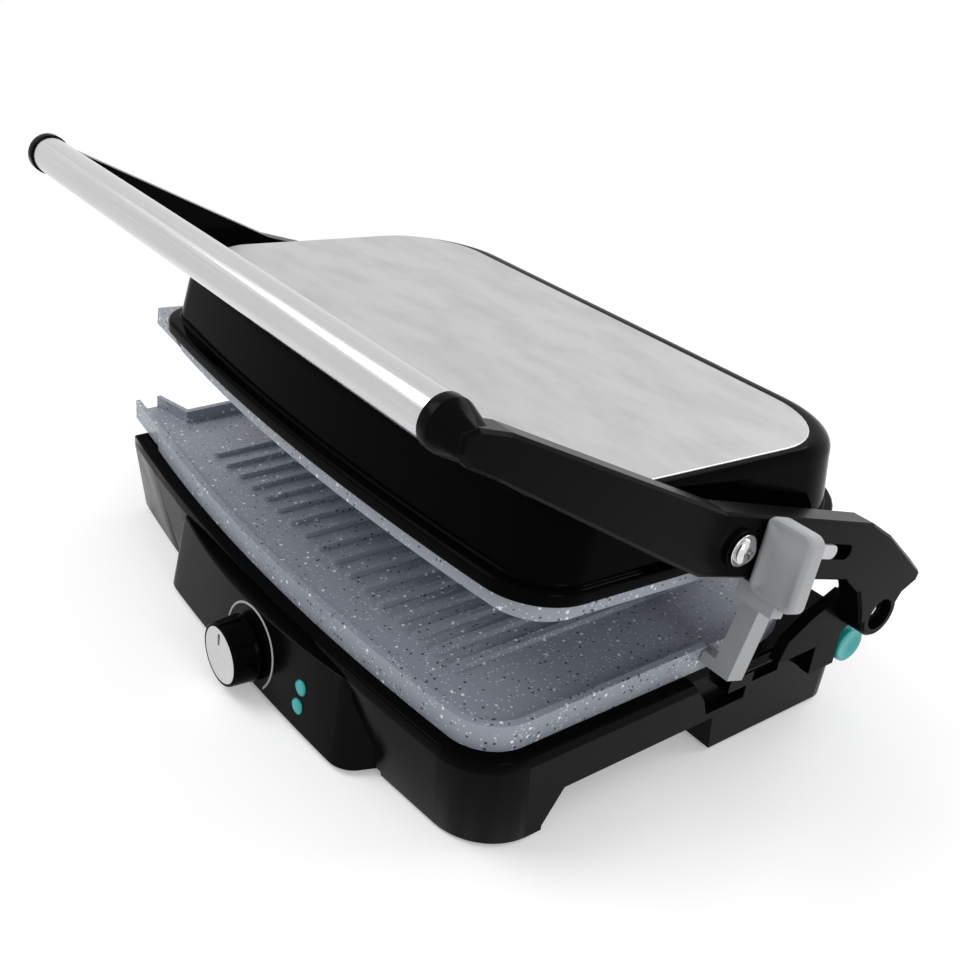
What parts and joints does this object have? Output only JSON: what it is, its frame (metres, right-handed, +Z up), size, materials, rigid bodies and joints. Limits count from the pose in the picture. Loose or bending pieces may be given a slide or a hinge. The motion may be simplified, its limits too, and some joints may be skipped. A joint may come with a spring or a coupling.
{
  "type": "contact grill",
  "caption": "Electric contact grill with a floating lid, ribbed grill plates, steel handle bar, sliding lid latch, temperature knob and flat-opening hinge.",
  "frame": {"origin": "on the surface the grill stands on, below the centre of the lower plate", "axes": "+X to the right seen from the front and along the handle bar, +Y to the rear, +Z up"},
  "size_m": [0.3764, 0.2791, 0.2145],
  "materials": {
    "housing_black": "fine satin texture",
    "gloss_black": "polished",
    "plate_coating": "non-stick coating with fine speckles",
    "brushed_steel": "brushed along X",
    "bright_steel": "polished",
    "sheet_aluminium": "mill finish",
    "latch_grey": "satin",
    "turquoise": "translucent gloss",
    "printed_grey": "screen print",
    "rubber_black": "matte",
    "acetal_white": "satin",
    "board_green": "varnish",
    "heater_steel": "dark heat-treated"
  },
  "bodies": {
    "base": {"base_housing": "housing_black", "base_bezel": "gloss_black", "base_cover": "housing_black", "cover_screws": "bright_steel", "foot_pads": "rubber_black", "control_panel": "housing_black", "scale_ring": "printed_grey", "power_lens": "turquoise", "ready_lens": "turquoise", "lamp_board": "board_green", "thermostat": "acetal_white", "thermal_fuse": "bright_steel", "lower_plate": "plate_coating", "lower_reflector": "sheet_aluminium", "lower_element": "heater_steel", "cord_gland": "rubber_black", "terminal_block": "acetal_white", "hinge_bushes": "acetal_white", "release_spring": "bright_steel", "hinge_towers": "housing_black"},
    "hinge_pin_pair": {"hinge_pins": "bright_steel", "hinge_clips": "bright_steel"},
    "handle": {"left_arm": "housing_black", "right_arm": "housing_black", "handle_tube": "brushed_steel", "handle_rod": "bright_steel"},
    "pivot_bush_pair": {"pivot_bushes": "acetal_white"},
    "lid": {"lid_shell": "gloss_black", "lid_panel": "brushed_steel", "upper_plate": "plate_coating", "upper_reflector": "sheet_aluminium", "upper_element": "heater_steel", "pivot_screws": "bright_steel", "pivot_washers": "bright_steel"},
    "latch_slider": {"latch": "latch_grey", "latch_backplate": "bright_steel", "latch_screws": "bright_steel"},
    "knob": {"temperature_knob": "gloss_black", "knob_cap": "brushed_steel", "thermostat_shaft": "bright_steel"},
    "button": {"release_button": "turquoise"}
  },
  "joints": [
    {"name": "flat_open", "type": "hinge", "parent": "base", "child": "hinge_pin_pair", "pos_m": [0, 0.1106, 0.0615], "axis": [-1, 0, 0], "range_deg": [0, 160]},
    {"name": "handle_lift", "type": "hinge", "parent": "hinge_pin_pair", "child": "handle", "pos_m": [0, 0.1106, 0.0615], "axis": [-1, 0, 0], "range_deg": [-18.3, 0]},
    {"name": "lid_level", "type": "hinge", "parent": "handle", "child": "pivot_bush_pair", "pos_m": [0, -0.0015, 0.12955], "axis": [-1, 0, 0], "range_deg": [0, 14.3]},
    {"name": "lid_tip", "type": "hinge", "parent": "pivot_bush_pair", "child": "lid", "pos_m": [0, -0.0015, 0.12955], "axis": [-1, 0, 0], "range_deg": [0, 16]},
    {"name": "latch_slide", "type": "slide", "parent": "handle", "child": "latch_slider", "axis": [0, 0.9494, -0.314], "range_m": [0, 0.012]},
    {"name": "knob_turn", "type": "hinge", "parent": "base", "child": "knob", "pos_m": [0.0108, -0.114, 0.019], "axis": [0, 1, 0], "range_deg": [0, 270]},
    {"name": "button_press", "type": "slide", "parent": "base", "child": "button", "axis": [-1, 0, 0], "range_m": [0, 0.0033], "stiffness_N_per_m": 600, "springref_m": -0.003, "deforming": ["release_spring"]}
  ],
  "couplings": [
    {"joint": "lid_level", "follows": "handle_lift", "ratio": -0.7814},
    {"joint": "lid_tip", "follows": "flat_open", "ratio": 0.1}
  ]
}
